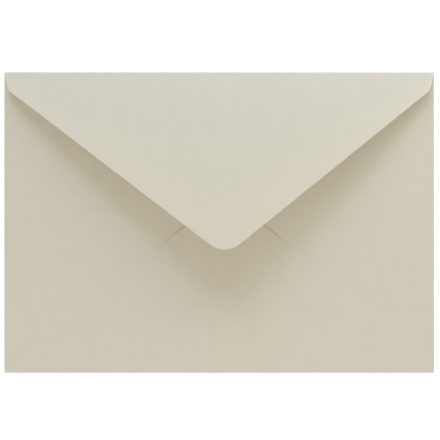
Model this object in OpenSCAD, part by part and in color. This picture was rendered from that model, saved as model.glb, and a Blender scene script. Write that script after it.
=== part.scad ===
// Paper envelope with a pointed closure flap, folded and glued from one cut sheet.
// The address side lies face down on Z = 0 and the closure flap lies on top, sprung open a little.
// X runs across the envelope, Y from the bottom fold to the top fold, and Z up out of the paper.

/* [Envelope] */
// Width between the two side folds
envelope_width = 162; // [140:1:240]
// Height between the bottom fold and the top fold
envelope_height = 113.5; // [105:0.5:170]
// Thickness of the paper
paper_thickness = 0.15; // [0.1:0.01:0.3]
// Clear room inside the empty pocket, between the front panel and the side flaps
pocket_room = 0.6; // [0.3:0.05:2]

/* [Closure flap] */
// Depth from the top fold to the point where its slanting edges would meet, seen from above
closure_depth = 69.2; // [50:0.1:90]
// Distance of that point to the right of the envelope's middle
closure_tip_offset = 2.2; // [-10:0.1:10]
// Radius that rounds the point
closure_tip_radius = 8.6; // [3:0.1:20]
// Distance from the fold to the shoulder, where the side edge turns into the slanting edge
closure_shoulder = 7; // [4:0.1:12]
// Angle at which the crease springs the flap up off the envelope
closure_spring = 10.5; // [2:0.5:20]
// Part of that angle which the flap loses again as it curls back towards its tip
closure_curl = 2; // [0.5:0.5:10]

/* [Bottom flap] */
// Depth from the bottom fold to the point where its slanting edges would meet
bottom_depth = 67.1; // [50:0.1:90]
// Distance of that point to the right of the envelope's middle
bottom_tip_offset = 2.9; // [-10:0.1:10]
// Radius that rounds the point
bottom_tip_radius = 12; // [3:0.5:20]
// Distance from the fold to the shoulder
bottom_shoulder = 5.6; // [4:0.1:12]

/* [Shoulders of the closure and bottom flaps] */
// How far each flap's side edge leans in on its way to the shoulder
shoulder_inset = 1.7; // [0.5:0.1:4]
// Radius of the shoulder
shoulder_radius = 2.5; // [1:0.5:4]

/* [Side flaps] */
// Depth from the side fold to the blunt end
side_depth = 72; // [40:0.5:76]
// Height of the blunt end before its corners are rounded
side_end_height = 29; // [20:0.5:40]
// Distance of the blunt end's middle above the envelope's middle
side_end_rise = -1.5; // [-6:0.5:6]
// Radius of the corners at the blunt end
side_end_radius = 10; // [3:0.5:12]
// Height of the flat corners beside the top fold and the bottom fold, which no side fold reaches
corner_height = 0.8; // [0.4:0.1:4]
// Width of the slit that parts each flat corner from the side fold
corner_slit = 0.2; // [0.1:0.05:1]

/* [Hidden] */

paper_colour = [0.88, 0.86, 0.79];
// Steps that draw each rounded corner of a cut edge, the closure flap's crease and its curl
corner_steps = 14;
crease_steps = 24;
curl_steps = 12;

// Level at which each layer of paper starts, from the floor up
side_level = paper_thickness + pocket_room;
bottom_level = side_level + paper_thickness;
closure_level = bottom_level + paper_thickness;

// Inner radius of each fold, half the height of what it wraps round
side_fold_radius = pocket_room / 2;
bottom_fold_radius = (bottom_level - paper_thickness) / 2;
closure_fold_radius = (closure_level - paper_thickness) / 2;

// Lines along which the flat front panel runs into its folds
side_fold_x = envelope_width / 2 - side_fold_radius - paper_thickness;
bottom_fold_y = -envelope_height / 2 + bottom_fold_radius + paper_thickness;
closure_fold_y = envelope_height / 2 - closure_fold_radius - paper_thickness;
corner_x = envelope_width / 2;
side_fold_length = closure_fold_y - bottom_fold_y - 2 * (corner_height + corner_slit);

function unit(v) = v / norm(v);
function reversed(list) = [for (i = [len(list) - 1 : -1 : 0]) list[i]];

// Points of an arc at the given angles, from straight below its centre at 0 towards +Y at 90
function arc(centre, radius, angles) =
    [for (angle = angles) centre + radius * [sin(angle), -cos(angle)]];

// Points that round the corner p, which has the corners a and b beside it, to the radius r
function rounded_corner(a, p, b, r) =
    let (
        to_a = unit(a - p),
        to_b = unit(b - p),
        half_angle = acos(to_a * to_b) / 2,
        centre = p + unit(to_a + to_b) * r / sin(half_angle),
        from = p + to_a * r / tan(half_angle) - centre,
        to = p + to_b * r / tan(half_angle) - centre,
        start = atan2(from[1], from[0]),
        turn = atan2(from[0] * to[1] - from[1] * to[0], from * to)
    )
    [for (i = [0 : corner_steps])
        let (angle = start + turn * i / corner_steps)
        centre + r * [cos(angle), sin(angle)]];

// Closed outline from a list of [corner, radius], where a radius of 0 keeps the corner sharp
function cut_outline(corners) =
    let (count = len(corners))
    [for (i = [0 : count - 1])
        let (
            before = corners[(i + count - 1) % count][0],
            after = corners[(i + 1) % count][0],
            p = corners[i][0],
            r = corners[i][1]
        )
        each r > 0 ? rounded_corner(before, p, after, r) : [p]];

// Outline of a pointed flap whose fold lies along y = 0 and whose point is towards +Y.
// It keeps its full width over the depth of the fold, and then leans in to its shoulders.
function pointed_flap(fold_depth, shoulder, depth, tip_offset, tip_radius) =
    let (shoulder_x = corner_x - shoulder_inset)
    cut_outline([
        [[-corner_x, 0], 0],
        [[corner_x, 0], 0],
        [[corner_x, fold_depth], 0],
        [[shoulder_x, shoulder], shoulder_radius],
        [[tip_offset, depth], tip_radius],
        [[-shoulder_x, shoulder], shoulder_radius],
        [[-corner_x, fold_depth], 0]
    ]);

// Outline of a side flap whose fold lies along x = 0 and whose blunt end is towards +X
function blunt_flap() =
    cut_outline([
        [[0, -side_fold_length / 2], 0],
        [[side_depth, side_end_rise - side_end_height / 2], side_end_radius],
        [[side_depth, side_end_rise + side_end_height / 2], side_end_radius],
        [[0, side_fold_length / 2], 0]
    ]);

// Strip of paper bent about the X axis, which starts straight below it and turns towards +Y and up
module bent_strip(inner_radius, angle, length) {
    rotate([0, 90, 0])
        translate([0, 0, -length / 2])
            rotate_extrude(angle = angle, $fn = 128)
                translate([inner_radius, 0])
                    square([paper_thickness, length]);
}

// Front panel, which carries the address: narrower between the side folds than at its flat corners
module front_panel() {
    low_y = bottom_fold_y + corner_height;
    high_y = closure_fold_y - corner_height;
    linear_extrude(paper_thickness)
        polygon([
            [-corner_x, bottom_fold_y],
            [corner_x, bottom_fold_y],
            [corner_x, low_y],
            [side_fold_x, low_y],
            [side_fold_x, high_y],
            [corner_x, high_y],
            [corner_x, closure_fold_y],
            [-corner_x, closure_fold_y],
            [-corner_x, high_y],
            [-side_fold_x, high_y],
            [-side_fold_x, low_y],
            [-corner_x, low_y]
        ]);
}

// Side flap with its half-round fold, on the right; the left one is its mirror image
module side_flap() {
    middle_y = (closure_fold_y + bottom_fold_y) / 2;
    translate([side_fold_x, middle_y, 0]) {
        translate([0, 0, side_level])
            mirror([1, 0, 0])
                linear_extrude(paper_thickness)
                    polygon(blunt_flap());
        translate([0, 0, paper_thickness + side_fold_radius])
            rotate([0, 0, -90])
                bent_strip(side_fold_radius, 180, side_fold_length);
    }
}

// Bottom flap, glued down on the side flaps
module bottom_flap() {
    fold_depth = bottom_fold_radius + paper_thickness;
    translate([0, bottom_fold_y, 0])
        intersection() {
            union() {
                translate([0, 0, fold_depth])
                    mirror([0, 1, 0])
                        bent_strip(bottom_fold_radius, 180, envelope_width);
                translate([-corner_x, 0, bottom_level])
                    cube([envelope_width, bottom_depth, paper_thickness]);
            }
            translate([0, -fold_depth, 0])
                linear_extrude(closure_level)
                    polygon(pointed_flap(
                        fold_depth, bottom_shoulder, bottom_depth, bottom_tip_offset, bottom_tip_radius
                    ));
        }
}

// Section of the closure flap's paper. It turns about the origin round the crease, from straight
// below to crease_turn, and goes on along the curl, an arc about a centre far below the flap.
function closure_section() =
    let (
        crease_turn = 180 - closure_spring,
        curl_radius = closure_depth / (closure_curl * PI / 180),
        curl_centre = (closure_fold_radius - curl_radius) * [sin(crease_turn), -cos(crease_turn)],
        crease = [for (i = [0 : crease_steps]) crease_turn * i / crease_steps],
        curl = [for (i = [1 : curl_steps]) crease_turn + closure_curl * i / curl_steps]
    )
    concat(
        arc([0, 0], closure_fold_radius, crease),
        arc(curl_centre, curl_radius, curl),
        reversed(concat(
            arc([0, 0], closure_fold_radius + paper_thickness, crease),
            arc(curl_centre, curl_radius + paper_thickness, curl)
        ))
    );

// Closure flap, which leaves its crease at closure_spring and curls back by closure_curl
module closure_flap() {
    fold_depth = closure_fold_radius + paper_thickness;
    translate([0, closure_fold_y, 0])
        intersection() {
            translate([-corner_x, 0, fold_depth])
                rotate([90, 0, 90])
                    linear_extrude(envelope_width)
                        polygon(closure_section());
            translate([0, fold_depth, 0])
                mirror([0, 1, 0])
                    linear_extrude(closure_depth)
                        polygon(pointed_flap(
                            fold_depth, closure_shoulder, closure_depth, closure_tip_offset, closure_tip_radius
                        ));
        }
}

module envelope() {
    color(paper_colour) {
        front_panel();
        side_flap();
        mirror([1, 0, 0])
            side_flap();
        bottom_flap();
        closure_flap();
    }
}

envelope();
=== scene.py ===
# Paper envelope: one die-cut sheet, scored, folded and glued, with its pointed closure flap sprung open.
# Everything is in metres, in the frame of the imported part: X across, Y up to the top fold, Z off the floor.
import math
from typing import NamedTuple

import bmesh
import bpy
from bpy.props import FloatProperty, FloatVectorProperty, IntProperty, PointerProperty
from bpy.types import Operator, Panel, PropertyGroup
from mathutils import Matrix, Vector


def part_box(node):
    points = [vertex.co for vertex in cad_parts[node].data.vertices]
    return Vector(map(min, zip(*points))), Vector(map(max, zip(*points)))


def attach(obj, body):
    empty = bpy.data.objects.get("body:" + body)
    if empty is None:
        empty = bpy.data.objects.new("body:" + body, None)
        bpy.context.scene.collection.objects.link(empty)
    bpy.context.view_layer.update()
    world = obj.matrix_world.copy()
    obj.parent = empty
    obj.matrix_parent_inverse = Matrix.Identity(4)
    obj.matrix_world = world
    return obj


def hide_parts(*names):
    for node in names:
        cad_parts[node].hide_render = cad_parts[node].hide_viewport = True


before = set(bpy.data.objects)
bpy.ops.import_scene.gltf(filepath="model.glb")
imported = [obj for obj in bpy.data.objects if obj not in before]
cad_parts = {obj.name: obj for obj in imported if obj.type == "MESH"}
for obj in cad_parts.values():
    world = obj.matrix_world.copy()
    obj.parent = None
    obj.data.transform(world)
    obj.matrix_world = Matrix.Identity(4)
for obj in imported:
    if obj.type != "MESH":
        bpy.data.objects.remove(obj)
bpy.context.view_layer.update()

bl_info = {
    "name": "Paper envelope",
    "version": (1, 0, 0),
    "blender": (4, 5, 0),
    "location": "View3D > Sidebar > Envelope",
    "description": "Cuts, folds and lights a paper envelope with a pointed closure flap",
    "category": "Object",
}

MM = 0.001
# Side of the square that the UV map covers, with the middle of the flat sheet in its middle
SHEET = 0.3
LOW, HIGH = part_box("envelope")


class EnvelopeSizes(PropertyGroup):
    """Sizes of the cut and folded sheet"""
    width: FloatProperty(
        name="Width", description="Between the two side folds",
        default=HIGH.x - LOW.x, min=0.1, unit="LENGTH")
    height: FloatProperty(
        name="Height", description="Between the bottom fold and the top fold",
        default=HIGH.y - LOW.y, min=0.08, unit="LENGTH")
    thickness: FloatProperty(
        name="Thickness", description="Thickness of the paper",
        default=0.15 * MM, min=0.05 * MM, unit="LENGTH")
    pocket_room: FloatProperty(
        name="Pocket room", description="Clear room between the front panel and the side flaps",
        default=0.6 * MM, min=0.2 * MM, unit="LENGTH")
    closure_depth: FloatProperty(
        name="Closure flap depth", description="From the top fold to where its slanting edges would meet",
        default=69.2 * MM, unit="LENGTH")
    closure_offset: FloatProperty(
        name="Closure point offset", description="Distance of the point to the right of the middle",
        default=2.2 * MM, unit="LENGTH")
    closure_radius: FloatProperty(
        name="Closure point radius", description="Radius that rounds the point",
        default=8.6 * MM, unit="LENGTH")
    closure_shoulder: FloatProperty(
        name="Closure shoulder", description="Distance from the top fold to the shoulders",
        default=7 * MM, unit="LENGTH")
    spring: FloatProperty(
        name="Spring", description="Angle at which the crease holds the closure flap off the envelope",
        default=math.radians(10.5), subtype="ANGLE")
    curl: FloatProperty(
        name="Curl", description="Part of that angle which the flap loses towards its point",
        default=math.radians(2), subtype="ANGLE")
    bottom_depth: FloatProperty(
        name="Bottom flap depth", description="From the bottom fold to where its slanting edges would meet",
        default=67.1 * MM, unit="LENGTH")
    bottom_offset: FloatProperty(
        name="Bottom point offset", description="Distance of the point to the right of the middle",
        default=2.9 * MM, unit="LENGTH")
    bottom_radius: FloatProperty(
        name="Bottom point radius", description="Radius that rounds the point",
        default=12 * MM, unit="LENGTH")
    bottom_shoulder: FloatProperty(
        name="Bottom shoulder", description="Distance from the bottom fold to the shoulders",
        default=5.6 * MM, unit="LENGTH")
    shoulder_inset: FloatProperty(
        name="Shoulder inset", description="How far a flap's side edge leans in on its way to the shoulder",
        default=1.7 * MM, unit="LENGTH")
    shoulder_radius: FloatProperty(
        name="Shoulder radius", description="Radius of the shoulders",
        default=2.5 * MM, unit="LENGTH")
    side_depth: FloatProperty(
        name="Side flap depth", description="From the side fold to the blunt end",
        default=72 * MM, unit="LENGTH")
    side_end_height: FloatProperty(
        name="Side flap end", description="Height of the blunt end",
        default=29 * MM, unit="LENGTH")
    side_end_rise: FloatProperty(
        name="Side flap end rise",
        description="Distance of the blunt end's middle above the envelope's middle",
        default=-1.5 * MM, unit="LENGTH")
    side_end_radius: FloatProperty(
        name="Side flap end radius", description="Radius of the corners at the blunt end",
        default=10 * MM, unit="LENGTH")
    corner_height: FloatProperty(
        name="Corner height", description="Height of the flat corners, which no side fold reaches",
        default=0.8 * MM, unit="LENGTH")
    corner_slit: FloatProperty(
        name="Corner slit", description="Width of the slit that parts each flat corner from the side fold",
        default=0.2 * MM, unit="LENGTH")
    rim: FloatProperty(
        name="Rim", description="Width along a cut edge where the die has pressed the paper",
        default=0.25 * MM, unit="LENGTH")
    pressed: FloatProperty(
        name="Pressed depth", description="How far each face is pressed in at the cut edge",
        default=0.015 * MM, unit="LENGTH")
    grid: FloatProperty(
        name="Grid", description="Spacing of the cuts that let the flat sheet bend",
        default=1.8 * MM, min=0.8 * MM, unit="LENGTH")
    fold_steps: IntProperty(
        name="Fold steps", description="Steps that bend the paper round each fold",
        default=12, min=4)
    corner_steps: IntProperty(
        name="Corner steps", description="Steps that draw each rounded corner",
        default=16, min=2)


class EnvelopeLie(PropertyGroup):
    """How the folded paper lies and springs"""
    pocket_bulge: FloatProperty(
        name="Pocket bulge", description="Rise of the glued flaps over the middle of the empty pocket",
        default=0.9 * MM, unit="LENGTH")
    seam_press: FloatProperty(
        name="Seam press", description="Depth to which the glued edges of the bottom flap are pressed in",
        default=0.135 * MM, unit="LENGTH")
    seam_lift: FloatProperty(
        name="Seam lift",
        description="Lift of the bottom flap's edge round its point, which lies outside the glue",
        default=0.02 * MM, unit="LENGTH")
    seam_length: FloatProperty(
        name="Seam lift length",
        description="Distance from the bottom flap's point over which its edge lifts",
        default=16 * MM, unit="LENGTH")
    seam_fade: FloatProperty(
        name="Seam lift fade",
        description="Distance over which the lifted edge comes down to the pressed one",
        default=20 * MM, unit="LENGTH")
    seam_width: FloatProperty(
        name="Seam margin", description="Width of the bottom flap's margin along its edges",
        default=3.5 * MM, unit="LENGTH")
    mouth_lift: FloatProperty(
        name="Mouth lift", description="Lift of the side flaps where no bottom flap holds them down",
        default=0.4 * MM, unit="LENGTH")
    mouth_reach: FloatProperty(
        name="Mouth reach", description="Distance from the seam over which the side flaps lift",
        default=25 * MM, unit="LENGTH")
    bow: FloatProperty(
        name="Bow", description="Rise of the closure flap halfway between its fold and its point",
        default=1.2 * MM, unit="LENGTH")
    bow_start: FloatProperty(
        name="Bow start", description="Distance from the top fold over which the bow sets in",
        default=5.5 * MM, unit="LENGTH")
    twist: FloatProperty(
        name="Twist", description="Rise of the closure flap's left edge over its right edge",
        default=0.4 * MM, unit="LENGTH")
    wave: FloatProperty(
        name="Wave", description="Height of the closure flap's soft waves",
        default=0.12 * MM, unit="LENGTH")
    wave_length: FloatProperty(
        name="Wave length", description="Distance from one soft wave to the next",
        default=46 * MM, unit="LENGTH")


class EnvelopeColours(PropertyGroup):
    """Colours of the paper"""
    paper: FloatVectorProperty(
        name="Paper", description="Cream of the uncoated paper",
        default=(0.634, 0.6, 0.504), min=0, max=1, subtype="COLOR")
    passed: FloatVectorProperty(
        name="Light through the paper", description="Share of the light that passes through one sheet",
        default=(0.11, 0.09, 0.055), min=0.001, max=0.5, subtype="COLOR")


class EnvelopeStage(PropertyGroup):
    """Floor and even light of the studio"""
    floor: FloatVectorProperty(
        name="Floor", description="White of the floor",
        default=(0.86, 0.86, 0.86), min=0, max=1, subtype="COLOR")
    floor_reach: FloatProperty(
        name="Floor reach", description="Distance from the middle of the floor to its sides",
        default=3, min=0.5, unit="LENGTH")
    floor_drop: FloatProperty(
        name="Floor drop",
        description="Gap under the envelope, so that floor and paper never share a surface",
        default=0.02 * MM, min=0, unit="LENGTH")
    floor_glow: FloatProperty(
        name="Floor glow",
        description="What the floor adds to its own brightness where the camera sees it",
        default=0.45, min=0)
    room: FloatVectorProperty(
        name="Room", description="Even light from all round",
        default=(0.388, 0.376, 0.333), min=0, subtype="COLOR")


class Lamp(NamedTuple):
    """Round soft lamp. Its colour is what it alone makes of a white floor."""
    name: str
    colour: tuple
    turn: float
    climb: float
    distance: float
    size: float


# Turn is the lamp's direction on the floor in degrees, from X towards Y, and climb its angle above it
LAMPS = (
    Lamp("key", (0.15, 0.176, 0.231), turn=100, climb=20, distance=1.2, size=0.5),
    Lamp("fill", (0.403, 0.387, 0.346), turn=-90, climb=30, distance=1.2, size=0.5),
    Lamp("side", (0.095, 0.097, 0.102), turn=60, climb=12, distance=0.45, size=0.2),
)


class Fold:
    """Path of the paper round one fold and on, as distance past the fold line and height.

    The paper leaves the front panel at height 0 of the path, turns by turn round an inner radius,
    and goes on straight, or along a gentle curl of so much angle to the metre."""

    def __init__(self, radius, thickness, turn=math.pi, curl=0.0):
        self.level = radius + thickness
        self.bend = radius + thickness / 2
        self.turn = turn
        self.curl = curl
        self.arc = self.bend * turn
        self.reach = radius + thickness

    def point(self, length, height):
        """Distance past the fold line and height of a point so far along the paper and up through it."""
        angle = min(length / self.bend, self.turn)
        past = max(0.0, length - self.arc)
        out = self.bend * math.sin(angle)
        up = self.level - self.bend * math.cos(angle)
        if past and self.curl:
            end = angle + self.curl * past
            out += (math.sin(end) - math.sin(angle)) / self.curl
            up += (math.cos(angle) - math.cos(end)) / self.curl
            angle = end
        elif past:
            out += past * math.cos(angle)
            up += past * math.sin(angle)
        off = height - (self.level - self.bend)
        return out - off * math.sin(angle), up + off * math.cos(angle)

    def length(self, inward):
        """Length of paper that reaches a point so far inward of the fold's outer edge, seen from above."""
        out = self.reach - inward
        start = self.bend * math.sin(self.turn)
        if not self.curl:
            return self.arc + (out - start) / math.cos(self.turn)
        end = math.pi - math.asin(math.sin(self.turn) + self.curl * (out - start))
        return self.arc + (end - self.turn) / self.curl


def folds(sizes):
    """The side, bottom and closure folds, each wrapped round what lies inside it."""
    paper = sizes.thickness
    slant = sizes.curl / sizes.closure_depth
    return {
        "side": Fold(sizes.pocket_room / 2, paper),
        "bottom": Fold((sizes.pocket_room + paper) / 2, paper),
        "closure": Fold((sizes.pocket_room + 2 * paper) / 2, paper, math.pi - sizes.spring, slant),
    }


def panel_edges(sizes, fold):
    """Side fold line, bottom fold line and top fold line of the flat front panel, where its folds start."""
    return (
        sizes.width / 2 - fold["side"].reach,
        -sizes.height / 2 + fold["bottom"].reach,
        sizes.height / 2 - fold["closure"].reach,
    )


def blank_corners(sizes, fold):
    """Corners of the flat sheet, anticlockwise, each with the radius that rounds it."""
    x, low, high = panel_edges(sizes, fold)
    corner = sizes.width / 2
    shoulder = corner - sizes.shoulder_inset
    tab = sizes.corner_height
    clear = tab + sizes.corner_slit
    root = x + fold["side"].arc
    end = x + fold["side"].length(sizes.side_depth + fold["side"].reach)
    middle = (low + high) / 2 + sizes.side_end_rise
    half_end = sizes.side_end_height / 2
    right = [
        (corner, low - fold["bottom"].arc, 0),
        (corner, low + tab, 0),
        (x, low + tab, 0),
        (x, low + clear, 0),
        (root, low + clear, 0),
        (end, middle - half_end, sizes.side_end_radius),
        (end, middle + half_end, sizes.side_end_radius),
        (root, high - clear, 0),
        (x, high - clear, 0),
        (x, high - tab, 0),
        (corner, high - tab, 0),
        (corner, high + fold["closure"].arc, 0),
    ]
    left = [(-px, py, radius) for px, py, radius in reversed(right)]
    closure_shoulder = high + fold["closure"].length(sizes.closure_shoulder)
    closure_point = high + fold["closure"].length(sizes.closure_depth)
    bottom_shoulder = low - fold["bottom"].length(sizes.bottom_shoulder)
    bottom_point = low - fold["bottom"].length(sizes.bottom_depth)
    return (
        right
        + [
            (shoulder, closure_shoulder, sizes.shoulder_radius),
            (sizes.closure_offset, closure_point, sizes.closure_radius),
            (-shoulder, closure_shoulder, sizes.shoulder_radius),
        ]
        + left
        + [
            (-shoulder, bottom_shoulder, sizes.shoulder_radius),
            (sizes.bottom_offset, bottom_point, sizes.bottom_radius),
            (shoulder, bottom_shoulder, sizes.shoulder_radius),
        ]
    )


def spaced(start, end, step):
    """Evenly spaced values from start to end, both included, no more than step apart."""
    count = max(1, math.ceil((end - start) / step))
    return [start + (end - start) * i / count for i in range(count + 1)]


def bend_lines(sizes, fold):
    """Places across and along the flat sheet at which a cut lets it bend."""
    x, low, high = panel_edges(sizes, fold)
    step = sizes.grid
    side_arc = fold["side"].arc
    reach = x + side_arc
    end = x + fold["side"].length(sizes.side_depth + fold["side"].reach)
    across = spaced(x, reach, side_arc / sizes.fold_steps) + spaced(reach, end, step)[1:]
    columns = spaced(-x, x, step)[1:-1] + across + [-column for column in across]
    top_arc, bottom_arc = high + fold["closure"].arc, low - fold["bottom"].arc
    rows = (
        spaced(low, high, step)
        + spaced(high, top_arc, fold["closure"].arc / sizes.fold_steps)[1:]
        + spaced(top_arc, high + fold["closure"].length(sizes.closure_depth), step)[1:]
        + spaced(bottom_arc, low, fold["bottom"].arc / sizes.fold_steps)[:-1]
        + spaced(low - fold["bottom"].length(sizes.bottom_depth), bottom_arc, step)[:-1]
    )
    return columns, rows


# Distance from a cut within which a point of the sheet counts as lying on it
TOUCHING = 1e-7


def cut(bm, point, normal):
    """Cuts the flat sheet's faces along a straight line, and keeps both sides."""
    bmesh.ops.bisect_plane(
        bm, geom=bm.verts[:] + bm.edges[:] + bm.faces[:], plane_co=point, plane_no=normal,
        dist=TOUCHING)


def cut_blank(sizes, fold):
    """The flat sheet as a mesh, with rounded corners, a rim, and a grid of cuts that lets it bend."""
    bm = bmesh.new()
    corners = blank_corners(sizes, fold)
    verts = [bm.verts.new((x, y, 0)) for x, y, _ in corners]
    bm.faces.new(verts)
    for i, (x, y, radius) in enumerate(corners):
        if not radius:
            continue
        here = Vector((x, y))
        before = Vector(corners[i - 1][:2]) - here
        after = Vector(corners[(i + 1) % len(corners)][:2]) - here
        bmesh.ops.bevel(
            bm, geom=[verts[i]], affect="VERTICES", offset_type="OFFSET",
            offset=radius / math.tan(before.angle(after) / 2),
            segments=sizes.corner_steps, profile=0.5, material=-1)
    # The rim mark places the pressed rim, its crushed bump and its painted highlight
    rim = bm.verts.layers.float.new("rim")
    for vert in bm.verts:
        vert[rim] = 1
    inner = bmesh.ops.inset_region(
        bm, faces=bm.faces[:], thickness=sizes.rim, depth=0, use_boundary=True, use_even_offset=True)
    inside = [vert for face in bm.faces if face not in inner["faces"] for vert in face.verts]
    for vert in inside:
        vert[rim] = 0
    columns, rows = bend_lines(sizes, fold)
    for column in columns:
        cut(bm, (column, 0, 0), (1, 0, 0))
    for row in rows:
        cut(bm, (0, row, 0), (0, 1, 0))
    return bm


# Places of the three materials in the sheet's list
OUTSIDE, INSIDE, CUT_EDGE = range(3)


def thicken(bm, thickness, pressed):
    """Extrudes the flat sheet to its thickness, outside down and inside up, and presses its rim thinner."""
    made = bmesh.ops.extrude_face_region(bm, geom=bm.faces[:])["geom"]
    raised = [part for part in made if isinstance(part, bmesh.types.BMVert)]
    bmesh.ops.translate(bm, verts=raised, vec=(0, 0, thickness))
    rim = bm.verts.layers.float["rim"]
    for vert in bm.verts:
        vert.co.z += (0.5 - vert.co.z / thickness) * 2 * pressed * vert[rim]
    bmesh.ops.recalc_face_normals(bm, faces=bm.faces[:])
    bm.normal_update()
    for face in bm.faces:
        face.smooth = True
        if abs(face.normal.z) < 0.5:
            face.material_index = CUT_EDGE
            for edge in face.edges:
                edge.smooth = False
        else:
            face.material_index = INSIDE if face.normal.z > 0 else OUTSIDE


def mark_sheet(bm, sizes, fold):
    """Keeps places on the flat sheet as the UV map, and marks the paper that the folds stretch."""
    x, low, high = panel_edges(sizes, fold)
    # The crease mark places the crushed bump of the folds and their painted shade
    crease = bm.verts.layers.float.new("crease")
    for vert in bm.verts:
        px, py = abs(vert.co.x), vert.co.y
        past_side, past_low, past_high = px - x, low - py, py - high
        on_fold = (
            0 <= past_high <= fold["closure"].arc or 0 <= past_low <= fold["bottom"].arc
            or (low <= py <= high and 0 <= past_side <= fold["side"].arc))
        vert[crease] = 1 if on_fold else 0
    uv = bm.loops.layers.uv.new("sheet")
    for face in bm.faces:
        for loop in face.loops:
            loop[uv].uv = (0.5 + loop.vert.co.x / SHEET, 0.5 + loop.vert.co.y / SHEET)


def ease(share):
    """Smooth step from 0 to 1."""
    share = min(1.0, max(0.0, share))
    return share * share * (3 - 2 * share)


def past_seam(sizes, x, y):
    """Distance of a point above the slanting edge of the bottom flap, seen from above."""
    point = Vector((sizes.bottom_offset, sizes.bottom_depth - sizes.height / 2))
    side = math.copysign(1, x - point.x)
    shoulder = Vector((
        side * (sizes.width / 2 - sizes.shoulder_inset), sizes.bottom_shoulder - sizes.height / 2))
    along = (shoulder - point).normalized()
    return side * along.cross(Vector((x, y)) - point)


def pocket_rise(sizes, lie, x, y):
    """Rise of the glued flaps over the pocket, which is nothing at the folds."""
    across = max(0, 1 - (2 * x / sizes.width) ** 2)
    along = max(0, 1 - (2 * y / sizes.height) ** 2)
    return lie.pocket_bulge * across * along


def side_rise(sizes, lie, x, y):
    """Rise of the side flaps, which lift in the pocket's mouth, past the bottom flap's edge."""
    free = ease(past_seam(sizes, x, y) / lie.mouth_reach) * max(0, 1 - (2 * x / sizes.width) ** 2)
    return pocket_rise(sizes, lie, x, y) + lie.mouth_lift * free


def bottom_rise(sizes, lie, x, y):
    """Rise of the bottom flap, whose edge is pressed down along the glue and lifts round its point."""
    margin = 1 - ease(-past_seam(sizes, x, y) / lie.seam_width)
    from_point = math.hypot(x - sizes.bottom_offset, y - sizes.bottom_depth + sizes.height / 2)
    loose = 1 - ease((from_point - lie.seam_length) / lie.seam_fade)
    edge = lie.seam_lift * loose - lie.seam_press * (1 - loose)
    return pocket_rise(sizes, lie, x, y) + edge * margin


# Soft waves of the closure flap: the height of each, how much it runs along X and along Y, and its start
WAVES = ((1, 1, 0.35, 0), (0.6, -0.71, 0.62, 1.3))


def closure_rise(sizes, lie, x, y):
    """Bow, twist and soft waves of the closure flap, which are nothing at its fold and at its point."""
    half_point = math.atan2(
        sizes.width / 2 - sizes.shoulder_inset, sizes.closure_depth - sizes.closure_shoulder)
    point = sizes.closure_depth - sizes.closure_radius * (1 / math.sin(half_point) - 1)
    past_fold = sizes.height / 2 - y
    share = min(1, max(0, past_fold / point))
    turn = 2 * math.pi / lie.wave_length
    waves = sum(
        height * math.sin(turn * (along_x * x + along_y * y) + start)
        for height, along_x, along_y, start in WAVES)
    bow = lie.bow * 4 * share * (1 - share) * ease(past_fold / lie.bow_start)
    return bow + (lie.wave * waves - lie.twist * x / sizes.width) * math.sin(math.pi * share)


def fold_sheet(bm, sizes, lie, fold):
    """Moves each point of the flat sheet to where the folds and the paper's spring take it."""
    x, low, high = panel_edges(sizes, fold)
    for vert in bm.verts:
        px, py, pz = vert.co
        if py > high:
            out, up = fold["closure"].point(py - high, pz)
            vert.co = (px, high + out, up)
            rise = closure_rise if py > high + fold["closure"].arc else None
        elif py < low:
            out, up = fold["bottom"].point(low - py, pz)
            vert.co = (px, low - out, up)
            rise = bottom_rise if py < low - fold["bottom"].arc else None
        elif abs(px) > x:
            out, up = fold["side"].point(abs(px) - x, pz)
            vert.co = (math.copysign(x + out, px), py, up)
            rise = side_rise if abs(px) > x + fold["side"].arc else None
        else:
            rise = None
        if rise:
            vert.co.z += rise(sizes, lie, vert.co.x, vert.co.y)


def mesh_object(bm, name):
    """New object in the scene, at the origin, from a finished mesh."""
    mesh = bpy.data.meshes.new(name)
    bm.to_mesh(mesh)
    bm.free()
    piece = bpy.data.objects.new(name, mesh)
    bpy.context.scene.collection.objects.link(piece)
    return piece


WHITE = (1, 1, 1, 1)
# Range in which a noise mostly lies
NOISE_LOW, NOISE_HIGH = 0.3, 0.7


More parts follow.
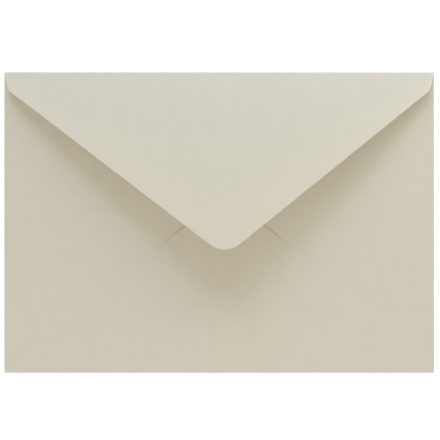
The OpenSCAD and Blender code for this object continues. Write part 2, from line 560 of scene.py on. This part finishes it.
class Recipe:
    """One material or world, to which nodes are added one by one with what feeds them."""

    def __init__(self, block, shader="Principled BSDF"):
        block.use_nodes = True
        self.block = block
        self.tree = block.node_tree
        self.shader = self.tree.nodes[shader]

    def feed(self, socket, value):
        """Links a socket to an output, or sets it to a value."""
        if isinstance(value, bpy.types.NodeSocket):
            self.tree.links.new(value, socket)
        else:
            socket.default_value = value

    def add(self, kind, feeds, **settings):
        """Adds a node, and gives the first of its outputs that its settings leave in use."""
        node = self.tree.nodes.new(kind)
        for name, value in settings.items():
            setattr(node, name, value)
        for name, value in feeds.items():
            self.feed(node.inputs[name], value)
        return next(output for output in node.outputs if output.enabled)

    def feed_shader(self, feeds):
        """Feeds sockets of the shader that the material or world came with."""
        for name, value in feeds.items():
            self.feed(self.shader.inputs[name], value)

    def blend(self, kind, other, feeds):
        """Blends that shader with another one, and sends the result on to the surface."""
        both = self.add(kind, feeds)
        shaders = [socket for socket in both.node.inputs if socket.type == "SHADER"]
        for socket, value in zip(shaders, (self.shader.outputs[0], other)):
            self.feed(socket, value)
        self.feed(self.tree.get_output_node("ALL").inputs["Surface"], both)

    def maths(self, operation, a, b=0.0, c=0.0):
        """Result of a sum on up to three numbers."""
        return self.add("ShaderNodeMath", {0: a, 1: b, 2: c}, operation=operation)

    def vector(self, operation, a, b):
        """Result of a sum on two vectors, or on a vector and a number."""
        node = self.tree.nodes.new("ShaderNodeVectorMath")
        node.operation = operation
        self.feed(node.inputs[0], a)
        self.feed(node.inputs["Scale" if operation == "SCALE" else 1], b)
        return node.outputs["Value" if operation == "DOT_PRODUCT" else "Vector"]

    def spread(self, value, low, high, new_low, new_high, smooth=False):
        """Moves a value from one range to another and keeps it in there."""
        return self.add("ShaderNodeMapRange", {
            "Value": value, "From Min": low, "From Max": high, "To Min": new_low, "To Max": new_high,
        }, interpolation_type="SMOOTHSTEP" if smooth else "LINEAR")

    def spread_noise(self, noise, new_low=0, new_high=1):
        """Moves a noise from the range in which it mostly lies to another one."""
        return self.spread(noise, NOISE_LOW, NOISE_HIGH, new_low, new_high)

    def attribute(self, name):
        """Value that each point of the mesh carries under a name."""
        node = self.tree.nodes.new("ShaderNodeAttribute")
        node.attribute_name = name
        return node.outputs["Fac"]

    def sheet_place(self):
        """Place on the flat sheet in millimetres."""
        place = self.add("ShaderNodeUVMap", {}, uv_map="sheet")
        return self.vector("SCALE", place, SHEET / MM)

    def noise(self, place, size, detail=2.0, roughness=0.5, turn=0.0, stretch=1.0):
        """Noise whose grains are so many millimetres across, stretched along a turned direction."""
        if stretch != 1.0:
            place = self.add("ShaderNodeMapping", {
                "Vector": place, "Rotation": (0, 0, turn), "Scale": (1 / stretch, 1, 1)})
        return self.add("ShaderNodeTexNoise", {
            "Vector": place, "Scale": 1 / size, "Detail": detail, "Roughness": roughness,
        }, noise_dimensions="2D")

    def tint(self, colour, share, by):
        """Multiplies a colour by another one, for a share from 0 to 1."""
        node = self.tree.nodes.new("ShaderNodeMix")
        node.data_type, node.blend_type = "RGBA", "MULTIPLY"
        sockets = [socket for socket in node.inputs if socket.enabled]
        for socket, value in zip(sockets, (share, colour, by)):
            self.feed(socket, value)
        return next(output for output in node.outputs if output.enabled)

    def bump(self, height, depth, strength, below=None):
        """Bumps so many metres deep, on top of those below them."""
        feeds = {"Height": height, "Distance": depth, "Strength": strength}
        if below is not None:
            feeds["Normal"] = below
        return self.add("ShaderNodeBump", feeds)


# Share of the paper's shader that lets light through, where the paper lets any through
THROUGH = 0.42
# The rest of that shader: matt, with the faint sheen of loose fibres
MATT = {"Specular IOR Level": 0.3, "Sheen Weight": 0.04, "Sheen Roughness": 0.5}

# Tints by which the paper's colour is multiplied; the crease tint is painted shade, darker and cooler on the
# rounded folds, and the rim tint a painted highlight along the cut edges
CLOUD_TINT = (0.975, 0.975, 0.975, 1)
GRAIN_TINT = (0.975, 0.973, 0.966, 1)
CREASE_SHADE_TINT = (0.94, 0.975, 1.08, 1)
RIM_HIGHLIGHT_TINT = (1.02, 1.0, 0.965, 1)
GUM_TINT = (0.955, 0.94, 0.89, 1)
TORN_TINT = (1.08, 1.07, 1.05, 1)

# Bumps beside those of the paper's tooth, and how much the paper's roughness varies down and up
UNEVEN_BUMP, FIBRE_BUMP, CRUSHED_BUMP = 1.4, 0.5, 2.0
SMOOTHER, ROUGHER = 0.06, 0.04


class Fibres(NamedTuple):
    """Fibres that lie in one direction, with their width in millimetres and their turn in radians."""
    width: float
    turn: float
    tint: tuple


FIBRES = (
    Fibres(0.12, turn=0.4, tint=(0.93, 0.915, 0.88, 1)),
    Fibres(0.14, turn=1.45, tint=(1.05, 1.05, 1.06, 1)),
    Fibres(0.13, turn=2.5, tint=(0.95, 0.935, 0.9, 1)),
)
# How much longer than wide the fibres are, from and to which noise they set in, and how far they tint
FIBRE_STRETCH = 13
FIBRE_RANGE = (0.66, 0.8)
FIBRE_SHARE = 0.6


class Pulp:
    """The patterns of one sheet of uncoated paper, all of them fixed to the flat sheet."""

    def __init__(self, recipe):
        self.recipe = recipe
        self.place = recipe.sheet_place()
        self.crease = recipe.attribute("crease")
        self.rim = recipe.attribute("rim")
        self.fibres = [
            recipe.noise(self.place, fibres.width, detail=1, turn=fibres.turn, stretch=FIBRE_STRETCH)
            for fibres in FIBRES]

    def colour(self, base):
        """Cloudy formation, fine grain, and a few pale and dark fibres that lie in all directions, with
        painted shade on the folds and a painted highlight along the cut edges.
        """
        recipe = self.recipe
        clouds = recipe.noise(self.place, size=5.5, detail=3, roughness=0.6)
        tone = recipe.tint((*base, 1), recipe.spread_noise(clouds), CLOUD_TINT)
        grain = recipe.noise(self.place, size=0.5, detail=2, roughness=0.65)
        tone = recipe.tint(tone, recipe.spread_noise(grain), GRAIN_TINT)
        for noise, fibres in zip(self.fibres, FIBRES):
            share = recipe.spread(noise, *FIBRE_RANGE, 0, FIBRE_SHARE, smooth=True)
            tone = recipe.tint(tone, share, fibres.tint)
        # Painted shade: the paper along the folds is made darker and cooler
        tone = recipe.tint(tone, self.crease, CREASE_SHADE_TINT)
        # Painted highlight: a lighter, warmer band along every cut edge
        return recipe.tint(tone, self.rim, RIM_HIGHLIGHT_TINT)

    def roughness(self, level):
        """Roughness that varies a little round a level."""
        shine = self.recipe.noise(self.place, size=0.4, detail=1)
        return self.recipe.spread_noise(shine, level - SMOOTHER, level + ROUGHER)

    def normal(self):
        """Bump of the paper: its tooth, the pressed fibres, and the crushed paper of a crease or a rim."""
        recipe = self.recipe
        uneven = recipe.noise(self.place, size=0.9, detail=2, roughness=0.6)
        relief = recipe.maths("MULTIPLY", uneven, UNEVEN_BUMP)
        tooth = recipe.noise(self.place, size=0.2, detail=3, roughness=0.7)
        relief = recipe.maths("ADD", tooth, relief)
        for noise in self.fibres[:2]:
            relief = recipe.maths("MULTIPLY_ADD", noise, FIBRE_BUMP, relief)
        worked = recipe.maths("MAXIMUM", self.crease, self.rim)
        crushed = recipe.noise(self.place, size=0.16, detail=3, roughness=0.75)
        crushed = recipe.maths("MULTIPLY", crushed, worked)
        relief = recipe.maths("MULTIPLY_ADD", crushed, CRUSHED_BUMP, relief)
        return recipe.bump(relief, depth=0.012 * MM, strength=0.6)


def finish_paper(recipe, tone, roughness, normal, passed=None):
    """Sets the paper's shader, through which a share of the light passes if passed is given."""
    recipe.feed_shader({"Base Color": tone, "Roughness": roughness, "Normal": normal, **MATT})
    if passed:
        through = recipe.add("ShaderNodeBsdfTranslucent", {"Color": passed})
        recipe.blend("ShaderNodeMixShader", through, {"Fac": THROUGH})
    return recipe.block


def faces_of(colour, passed):
    """Colours of a face and of the light that it lets through, of which the sheet has two faces.

    The sheet as a whole then sends back colour and lets passed through, with the light that
    goes to and fro between its faces counted in."""
    back, through = [], []
    for sent, gone in zip(colour, passed):
        face = sent / (1 + gone)
        back.append(face / (1 - THROUGH))
        through.append(math.sqrt(gone * (1 - face * face)) / THROUGH)
    return back, (*through, 1)


def outside_paper(colours):
    """The smoother side of the paper, which shows when the envelope is folded."""
    recipe = Recipe(bpy.data.materials.new("paper_outside"))
    face, through = faces_of(colours.paper, colours.passed)
    pulp = Pulp(recipe)
    return finish_paper(recipe, pulp.colour(face), pulp.roughness(level=0.86), pulp.normal(), through)


# Ranges in millimetres over which the gum sets in and stops under the flap's slanting edges, and
# over which it sets in past the fold, and how far its sides wander
GUM_BEGINS, GUM_ENDS, GUM_PAST_FOLD = (3.0, 3.5), (15.0, 15.5), (4, 5)
GUM_WANDER = 0.9
# Roughness of the gum and thickness of its film, from streak to streak
GUM_ROUGHNESS = (0.3, 0.42)
GUM_FILM = (0.8, 1.2)


def gum_share(recipe, place, sizes, fold):
    """Where the strip of dry gum lies: along both slanting edges of the closure flap, clear of its fold."""
    _, _, high = panel_edges(sizes, fold)
    root = high + fold["closure"].arc
    point = Vector((sizes.closure_offset, high + fold["closure"].length(sizes.closure_depth)))
    shoulder_x = sizes.width / 2 - sizes.shoulder_inset
    shoulder_y = high + fold["closure"].length(sizes.closure_shoulder)
    middle = Vector((0.5, 0.5)) * SHEET
    start = (point + middle) / MM
    past_point = recipe.vector("SUBTRACT", place, (start.x, start.y, 0))
    inward = []
    for side in (-1, 1):
        along = (Vector((side * shoulder_x, shoulder_y)) - point).normalized()
        across = (-side * along.y, side * along.x, 0)
        inward.append(recipe.vector("DOT_PRODUCT", past_point, across))
    wander = recipe.maths("SUBTRACT", recipe.noise(place, size=3.5, detail=3), 0.5)
    wander = recipe.maths("MULTIPLY", wander, GUM_WANDER)
    depth = recipe.maths("ADD", recipe.maths("MINIMUM", *inward), wander)
    height = recipe.add("ShaderNodeSeparateXYZ", {"Vector": place}).node.outputs["Y"]
    fold_end = (root + middle.y) / MM
    past_fold = [fold_end + past for past in GUM_PAST_FOLD]
    band = recipe.maths(
        "MULTIPLY", recipe.spread(depth, *GUM_BEGINS, 0, 1, smooth=True),
        recipe.spread(depth, *GUM_ENDS, 1, 0, smooth=True))
    return recipe.maths("MULTIPLY", band, recipe.spread(height, *past_fold, 0, 1, smooth=True))


def inside_paper(colours, sizes, fold):
    """The side of the paper that the envelope hides, with the gum that closes the flap."""
    recipe = Recipe(bpy.data.materials.new("paper_inside"))
    face, through = faces_of(colours.paper, colours.passed)
    pulp = Pulp(recipe)
    gum = gum_share(recipe, pulp.place, sizes, fold)
    streaks = recipe.noise(pulp.place, size=0.9, detail=3, turn=0.65, stretch=6)
    tone = recipe.tint(pulp.colour(face), gum, GUM_TINT)
    bare = recipe.maths("MULTIPLY", pulp.roughness(level=0.9), recipe.maths("SUBTRACT", 1.0, gum))
    coat = recipe.maths("MULTIPLY", recipe.spread_noise(streaks, *GUM_ROUGHNESS), gum)
    film = recipe.maths("MULTIPLY", gum, recipe.spread(streaks, 0, 1, *GUM_FILM))
    normal = recipe.bump(film, depth=0.03 * MM, strength=0.7, below=pulp.normal())
    return finish_paper(recipe, tone, recipe.maths("ADD", bare, coat), normal, through)


def cut_paper(colours):
    """The cut edge, where the fibres are torn open and catch a little more light."""
    recipe = Recipe(bpy.data.materials.new("paper_cut_edge"))
    torn = recipe.noise(recipe.sheet_place(), size=0.12, detail=3, roughness=0.7)
    tone = recipe.tint((*colours.paper, 1), recipe.spread_noise(torn), TORN_TINT)
    normal = recipe.bump(torn, depth=0.03 * MM, strength=0.8)
    return finish_paper(recipe, tone, recipe.spread_noise(torn, 0.9, 0.98), normal)


class ENVELOPE_OT_sheet(Operator):
    """Cut, score and fold the envelope's sheet of paper"""
    bl_idname = "envelope.sheet"
    bl_label = "Folded sheet"

    def execute(self, context):
        sizes = context.scene.envelope_sizes
        fold = folds(sizes)
        bm = cut_blank(sizes, fold)
        thicken(bm, sizes.thickness, sizes.pressed)
        mark_sheet(bm, sizes, fold)
        fold_sheet(bm, sizes, context.scene.envelope_lie, fold)
        piece = mesh_object(bm, "envelope_sheet")
        colours = context.scene.envelope_colours
        for material in (outside_paper(colours), inside_paper(colours, sizes, fold), cut_paper(colours)):
            piece.data.materials.append(material)
        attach(piece, "root")
        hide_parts("envelope")
        return {"FINISHED"}


def seen(recipe):
    """1 where the camera, a glossy surface or clear glass sees a surface, and 0 for light on its way."""
    path = recipe.add("ShaderNodeLightPath", {}).node.outputs
    clear = recipe.maths("SUBTRACT", path["Is Transmission Ray"], path["Is Diffuse Ray"])
    glossy = recipe.maths("MAXIMUM", path["Is Glossy Ray"], clear)
    return recipe.maths("MAXIMUM", path["Is Camera Ray"], glossy)


def floor_paint(stage):
    """Matt white floor, which glows a little where it is seen and keeps its shadows."""
    recipe = Recipe(bpy.data.materials.new("floor"))
    recipe.feed_shader({"Base Color": (*stage.floor, 1), "Roughness": 0.9})
    level = recipe.maths("MULTIPLY", seen(recipe), stage.floor_glow)
    glow = recipe.add("ShaderNodeEmission", {"Color": WHITE, "Strength": level})
    recipe.blend("ShaderNodeAddShader", glow, {})
    return recipe.block


def studio_room(stage):
    """World that lights everything with the room's light and is seen as plain white."""
    recipe = Recipe(bpy.data.worlds.new("studio"), "Background")
    recipe.feed_shader({"Color": (*stage.room, 1), "Strength": 1})
    white = recipe.add("ShaderNodeBackground", {"Color": WHITE, "Strength": 1})
    recipe.blend("ShaderNodeMixShader", white, {"Fac": seen(recipe)})
    return recipe.block


def hang_lamp(lamp):
    """Hangs a lamp at its place, facing the envelope, at the power that gives a white floor its colour."""
    turn, climb = math.radians(lamp.turn), math.radians(lamp.climb)
    level = max(lamp.colour)
    light = bpy.data.lights.new(lamp.name, "AREA")
    light.shape = "DISK"
    light.size = lamp.size
    light.color = [value / level for value in lamp.colour]
    light.energy = level * (math.pi * lamp.distance) ** 2 / math.sin(climb)
    hung = bpy.data.objects.new(lamp.name, light)
    hung.location = lamp.distance * Vector((
        math.cos(climb) * math.cos(turn), math.cos(climb) * math.sin(turn), math.sin(climb)))
    hung.rotation_euler = (-hung.location).to_track_quat("-Z", "Y").to_euler()
    bpy.context.scene.collection.objects.link(hung)


def lay_floor(stage):
    """Lays the floor a hair under the envelope."""
    bm = bmesh.new()
    bmesh.ops.create_grid(
        bm, x_segments=2, y_segments=2, size=stage.floor_reach,
        matrix=Matrix.Translation((0, 0, -stage.floor_drop)))
    floor = mesh_object(bm, "floor")
    floor.data.materials.append(floor_paint(stage))


# Width of the picture at the floor, how far its middle lies right of and above the envelope's, as in
# the photo, and the camera's lens and sensor
PICTURE_WIDTH = 166 * MM
PICTURE_MIDDLE = (0.31 * MM, 0.97 * MM)
LENS, SENSOR = 200, 36


def set_camera(scene):
    """Sets the camera high above the envelope, looking straight down."""
    view = bpy.data.cameras.new("camera")
    view.lens = LENS
    camera = bpy.data.objects.new("camera", view)
    camera.location = (*PICTURE_MIDDLE, PICTURE_WIDTH * LENS / SENSOR)
    scene.collection.objects.link(camera)
    scene.camera = camera


class ENVELOPE_OT_stage(Operator):
    """Lay the floor, and set the lamps and the camera"""
    bl_idname = "envelope.stage"
    bl_label = "Floor, lamps and camera"

    def execute(self, context):
        scene = context.scene
        lay_floor(scene.envelope_stage)
        scene.world = studio_room(scene.envelope_stage)
        for lamp in LAMPS:
            hang_lamp(lamp)
        set_camera(scene)
        scene.view_settings.view_transform = "Standard"
        return {"FINISHED"}


class ENVELOPE_PT_panel(Panel):
    """Sizes, colours and steps of the envelope"""
    bl_label = "Paper envelope"
    bl_idname = "ENVELOPE_PT_panel"
    bl_space_type = "VIEW_3D"
    bl_region_type = "UI"
    bl_category = "Envelope"

    def draw(self, context):
        layout = self.layout
        scene = context.scene
        groups = (
            scene.envelope_sizes, scene.envelope_lie, scene.envelope_colours, scene.envelope_stage)
        for group in groups:
            for name in group.__annotations__:
                layout.prop(group, name)
        for operator in OPERATORS:
            layout.operator(operator.bl_idname)


OPERATORS = (ENVELOPE_OT_sheet, ENVELOPE_OT_stage)
CLASSES = (EnvelopeSizes, EnvelopeLie, EnvelopeColours, EnvelopeStage, *OPERATORS, ENVELOPE_PT_panel)


def register():
    for cls in CLASSES:
        bpy.utils.register_class(cls)
    bpy.types.Scene.envelope_sizes = PointerProperty(type=EnvelopeSizes)
    bpy.types.Scene.envelope_lie = PointerProperty(type=EnvelopeLie)
    bpy.types.Scene.envelope_colours = PointerProperty(type=EnvelopeColours)
    bpy.types.Scene.envelope_stage = PointerProperty(type=EnvelopeStage)


def unregister():
    del bpy.types.Scene.envelope_stage
    del bpy.types.Scene.envelope_colours
    del bpy.types.Scene.envelope_lie
    del bpy.types.Scene.envelope_sizes
    for cls in reversed(CLASSES):
        bpy.utils.unregister_class(cls)


def main():
    register()
    bpy.ops.envelope.sheet()
    bpy.ops.envelope.stage()


if __name__ == "__main__":
    main()
